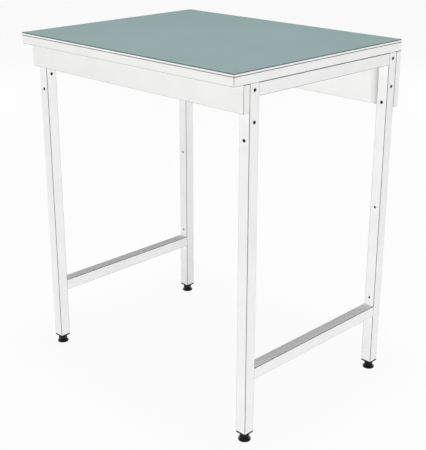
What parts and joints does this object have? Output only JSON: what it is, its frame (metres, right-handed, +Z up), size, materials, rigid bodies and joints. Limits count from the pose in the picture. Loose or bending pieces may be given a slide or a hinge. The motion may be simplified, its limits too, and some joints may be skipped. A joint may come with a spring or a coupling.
{
  "type": "weighing balance table",
  "caption": "Free-standing weighing table: laminated worktop on a white square-tube frame with front and rear aprons, low side crossbars and screw-adjusted levelling feet.",
  "frame": {"origin": "on the floor, under the middle of the worktop", "axes": "+Z up, +X to the user's right, +Y away from the user, towards the rear apron"},
  "size_m": [0.7538, 0.6, 0.9],
  "materials": {
    "decor_laminate": "matt teal grey laminate with a fine texture",
    "white_panel": "white sheet, satin edge",
    "white_board": "chipboard faced and edged in white melamine",
    "frame_paint": "white powder coat, satin, slight orange peel",
    "black_plastic": "moulded black polyamide, satin",
    "black_steel": "blackened steel, satin",
    "zinc_steel": "bright zinc plate"
  },
  "bodies": {
    "table": {"worktop_board": "white_board", "worktop_panel": "white_panel", "worktop_decor": "decor_laminate", "leg_front_left": "frame_paint", "leg_front_right": "frame_paint", "leg_rear_left": "frame_paint", "leg_rear_right": "frame_paint", "upper_rail_left": "frame_paint", "upper_rail_right": "frame_paint", "lower_crossbar_left": "frame_paint", "lower_crossbar_right": "frame_paint", "front_apron": "white_board", "rear_apron": "white_board", "plug_front_left_outer_upper": "black_plastic", "plug_front_left_outer_lower": "black_plastic", "plug_front_left_inner_upper": "black_plastic", "plug_front_left_inner_lower": "black_plastic", "plug_front_left_front": "black_plastic", "plug_front_left_back": "black_plastic", "plug_front_right_outer_upper": "black_plastic", "plug_front_right_outer_lower": "black_plastic", "plug_front_right_inner_upper": "black_plastic", "plug_front_right_inner_lower": "black_plastic", "plug_front_right_front": "black_plastic", "plug_front_right_back": "black_plastic", "plug_rear_left_outer_upper": "black_plastic", "plug_rear_left_outer_lower": "black_plastic", "plug_rear_left_inner_upper": "black_plastic", "plug_rear_left_inner_lower": "black_plastic", "plug_rear_right_outer_upper": "black_plastic", "plug_rear_right_outer_lower": "black_plastic", "plug_rear_right_inner_upper": "black_plastic", "plug_rear_right_inner_lower": "black_plastic", "apron_screw_left": "black_steel", "apron_screw_right": "black_steel", "apron_nut_left": "zinc_steel", "apron_nut_right": "zinc_steel", "rail_screw_front_left": "zinc_steel", "rail_screw_front_right": "zinc_steel", "rail_screw_rear_left": "zinc_steel", "rail_screw_rear_right": "zinc_steel", "front_apron_board_screw_left": "zinc_steel", "front_apron_board_screw_right": "zinc_steel", "rear_apron_board_screw_left": "zinc_steel", "rear_apron_board_screw_right": "zinc_steel", "leg_cap_front_left": "black_plastic", "leg_cap_front_right": "black_plastic", "leg_cap_rear_left": "black_plastic", "leg_cap_rear_right": "black_plastic"},
    "pad_front_left": {"foot_pad_front_left": "black_plastic"},
    "pad_front_right": {"foot_pad_front_right": "black_plastic"},
    "pad_rear_left": {"foot_pad_rear_left": "black_plastic"},
    "pad_rear_right": {"foot_pad_rear_right": "black_plastic"},
    "stud_front_left": {"foot_stud_front_left": "black_steel"},
    "stud_front_right": {"foot_stud_front_right": "black_steel"},
    "stud_rear_left": {"foot_stud_rear_left": "black_steel"},
    "stud_rear_right": {"foot_stud_rear_right": "black_steel"}
  },
  "joints": [
    {"name": "foot_lift_front_left", "type": "slide", "parent": "table", "child": "pad_front_left", "axis": [0, 0, -1], "range_m": [-0.003, 0.02]},
    {"name": "foot_turn_front_left", "type": "hinge", "parent": "pad_front_left", "child": "stud_front_left", "pos_m": [-0.36, -0.236, 0.01], "axis": [0, 0, -1], "range_deg": [-721, 4801]},
    {"name": "foot_lift_front_right", "type": "slide", "parent": "table", "child": "pad_front_right", "axis": [0, 0, -1], "range_m": [-0.003, 0.02]},
    {"name": "foot_turn_front_right", "type": "hinge", "parent": "pad_front_right", "child": "stud_front_right", "pos_m": [0.36, -0.236, 0.01], "axis": [0, 0, -1], "range_deg": [-721, 4801]},
    {"name": "foot_lift_rear_left", "type": "slide", "parent": "table", "child": "pad_rear_left", "axis": [0, 0, -1], "range_m": [-0.003, 0.02]},
    {"name": "foot_turn_rear_left", "type": "hinge", "parent": "pad_rear_left", "child": "stud_rear_left", "pos_m": [-0.36, 0.266, 0.01], "axis": [0, 0, -1], "range_deg": [-721, 4801]},
    {"name": "foot_lift_rear_right", "type": "slide", "parent": "table", "child": "pad_rear_right", "axis": [0, 0, -1], "range_m": [-0.003, 0.02]},
    {"name": "foot_turn_rear_right", "type": "hinge", "parent": "pad_rear_right", "child": "stud_rear_right", "pos_m": [0.36, 0.266, 0.01], "axis": [0, 0, -1], "range_deg": [-721, 4801]}
  ],
  "couplings": [
    {"joint": "foot_turn_front_left", "follows": "foot_lift_front_left", "rad_per_m": 4188.8},
    {"joint": "foot_turn_front_right", "follows": "foot_lift_front_right", "rad_per_m": 4188.8},
    {"joint": "foot_turn_rear_left", "follows": "foot_lift_rear_left", "rad_per_m": 4188.8},
    {"joint": "foot_turn_rear_right", "follows": "foot_lift_rear_right", "rad_per_m": 4188.8}
  ]
}
